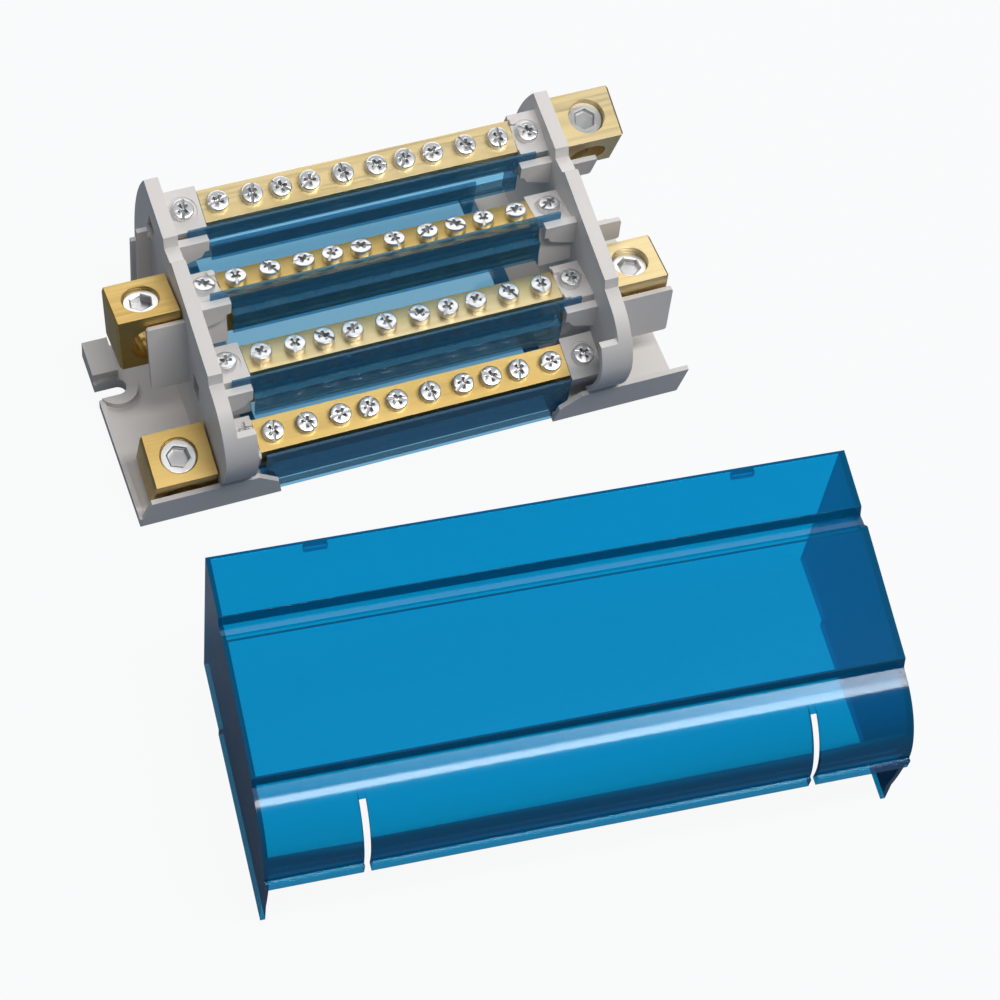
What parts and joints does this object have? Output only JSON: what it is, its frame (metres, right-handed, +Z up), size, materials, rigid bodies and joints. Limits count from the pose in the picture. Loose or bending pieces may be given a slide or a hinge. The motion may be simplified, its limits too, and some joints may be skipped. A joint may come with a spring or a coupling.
{
  "type": "four-pole distribution block",
  "caption": "Stepped four-pole power distribution block: brass busbars with end terminals between grey end supports, blue barriers, and its clear blue cover laid in front.",
  "frame": {"origin": "on the underside, midway between the round ends of the two fixing slots", "axes": "+X along the busbars towards the terminals of poles 1 and 3, +Y towards the highest pole, +Z up from the mounting surface"},
  "size_m": [0.1986, 0.2506, 0.0666],
  "materials": {
    "brass": "brushed",
    "plated_steel": "zinc plated",
    "grey_moulding": "moulded",
    "blue_sheet": "transparent",
    "blue_cover": "transparent"
  },
  "bodies": {
    "block": {"busbar_1": "brass", "clamp_screws_1": "plated_steel", "busbar_2": "brass", "clamp_screws_2": "plated_steel", "busbar_3": "brass", "clamp_screws_3": "plated_steel", "busbar_4": "brass", "clamp_screws_4": "plated_steel", "fixing_screws": "plated_steel", "left_support": "grey_moulding", "right_support": "grey_moulding", "barrier_1": "blue_sheet", "barrier_2": "blue_sheet", "barrier_3": "blue_sheet", "trough": "blue_sheet"},
    "set_screw_1": {"set_screw_1": "plated_steel"},
    "set_screw_2": {"set_screw_2": "plated_steel"},
    "set_screw_3": {"set_screw_3": "plated_steel"},
    "set_screw_4": {"set_screw_4": "plated_steel"},
    "cover": {"cover": "blue_cover"}
  },
  "joints": [
    {"name": "set_screw_1_turn", "type": "slide", "parent": "block", "child": "set_screw_1", "axis": [0, 0.2756, -0.9613], "range_m": [-0.001, 0.0026]},
    {"name": "set_screw_2_turn", "type": "slide", "parent": "block", "child": "set_screw_2", "axis": [0, -0.2079, -0.9781], "range_m": [-0.001, 0.0026]},
    {"name": "set_screw_3_turn", "type": "slide", "parent": "block", "child": "set_screw_3", "axis": [0, -0.0698, -0.9976], "range_m": [-0.001, 0.0026]},
    {"name": "set_screw_4_turn", "type": "slide", "parent": "block", "child": "set_screw_4", "axis": [0, 0.2588, -0.9659], "range_m": [-0.001, 0.0026]},
    {"name": "cover_lift", "type": "slide", "parent": "block", "child": "cover", "axis": [0, 0, 1], "range_m": [0, 0.08]}
  ]
}
